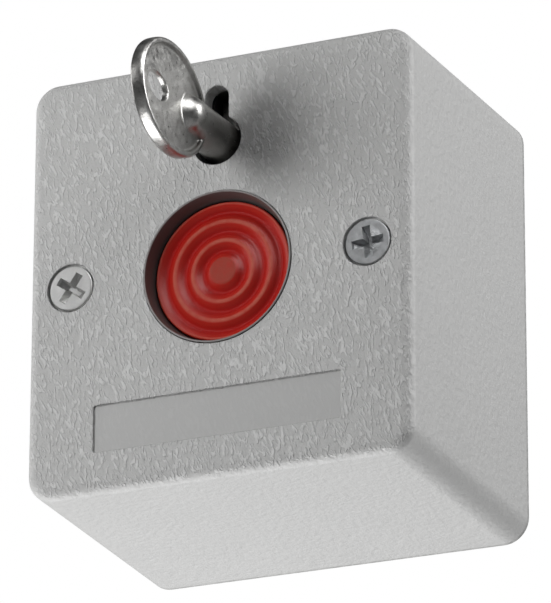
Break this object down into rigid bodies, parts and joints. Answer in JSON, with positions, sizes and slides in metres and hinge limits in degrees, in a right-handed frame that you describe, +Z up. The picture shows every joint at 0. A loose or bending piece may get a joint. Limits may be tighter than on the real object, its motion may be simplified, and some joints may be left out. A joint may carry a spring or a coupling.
{
  "type": "hold-up push button",
  "caption": "Wall-mounted latching alarm push button: moulded box, ridged red button in a black collar, key-operated reset and a changeover contact inside.",
  "frame": {"origin": "centre of the back plate's rear face, which rests on the wall", "axes": "+X to the right seen from the front, +Y into the wall, +Z up"},
  "size_m": [0.054, 0.0619, 0.0584],
  "materials": {
    "grained_plastic": "moulded leather grain, light grey",
    "grey_plastic": "plain moulded, light grey",
    "black_gloss_plastic": "semi-gloss moulded",
    "black_plastic": "moulded",
    "red_plastic": "satin moulded, worn on the ridges",
    "nylon": "natural moulded",
    "nickel": "polished nickel plate",
    "zinc_steel": "zinc plated",
    "pressed_steel": "pressed sheet",
    "spring_steel": "drawn wire",
    "contact_brass": "stamped sheet",
    "screw_brass": "turned"
  },
  "bodies": {
    "housing": {"front_cover": "grained_plastic", "back_plate": "grey_plastic", "cover_screw_left": "zinc_steel", "cover_screw_right": "zinc_steel", "button_collar": "black_gloss_plastic", "return_spring": "spring_steel", "mechanism_frame": "black_plastic", "frame_screw_left": "zinc_steel", "frame_screw_right": "zinc_steel", "latch_spring": "spring_steel", "terminal_block": "black_plastic", "closed_contact": "contact_brass", "open_contact": "contact_brass", "common_contact": "contact_brass", "contact_spring": "spring_steel", "wire_clamp_closed": "zinc_steel", "wire_clamp_common": "zinc_steel", "wire_clamp_open": "zinc_steel", "terminal_screw_closed": "screw_brass", "terminal_screw_common": "screw_brass", "terminal_screw_open": "screw_brass", "block_screw_left": "zinc_steel", "block_screw_right": "zinc_steel"},
    "button": {"red_button": "red_plastic", "plunger": "nylon"},
    "rotor": {"key_rotor": "black_plastic"},
    "key": {"key": "nickel"},
    "latch": {"latch_slider": "pressed_steel"},
    "contact": {"contact_arm": "contact_brass"}
  },
  "joints": [
    {"name": "button_press", "type": "slide", "parent": "housing", "child": "button", "axis": [0, 1, 0], "range_m": [0, 0.0035], "stiffness_N_per_m": 900, "springref_m": -0.0015, "deforming": ["return_spring"]},
    {"name": "key_turn", "type": "hinge", "parent": "housing", "child": "rotor", "pos_m": [-0.0002, -0.028, 0.01674], "axis": [0, 1, 0], "range_deg": [0, 90]},
    {"name": "key_withdraw", "type": "slide", "parent": "rotor", "child": "key", "axis": [0, -1, 0], "range_m": [0, 0.016]},
    {"name": "latch_slide", "type": "slide", "parent": "housing", "child": "latch", "axis": [0, 0, -1], "range_m": [0, 0.002], "stiffness_N_per_m": 3200, "springref_m": -0.0003, "deforming": ["latch_spring"]},
    {"name": "contact_swing", "type": "hinge", "parent": "housing", "child": "contact", "pos_m": [0, -0.0124, -0.0136], "axis": [-1, 0, 0], "range_deg": [0, 15.5], "deforming": ["contact_spring"]}
  ],
  "couplings": [
    {"joint": "key_turn", "follows": "latch_slide", "rad_per_m": 785},
    {"joint": "contact_swing", "follows": "button_press", "rad_per_m": 77}
  ]
}
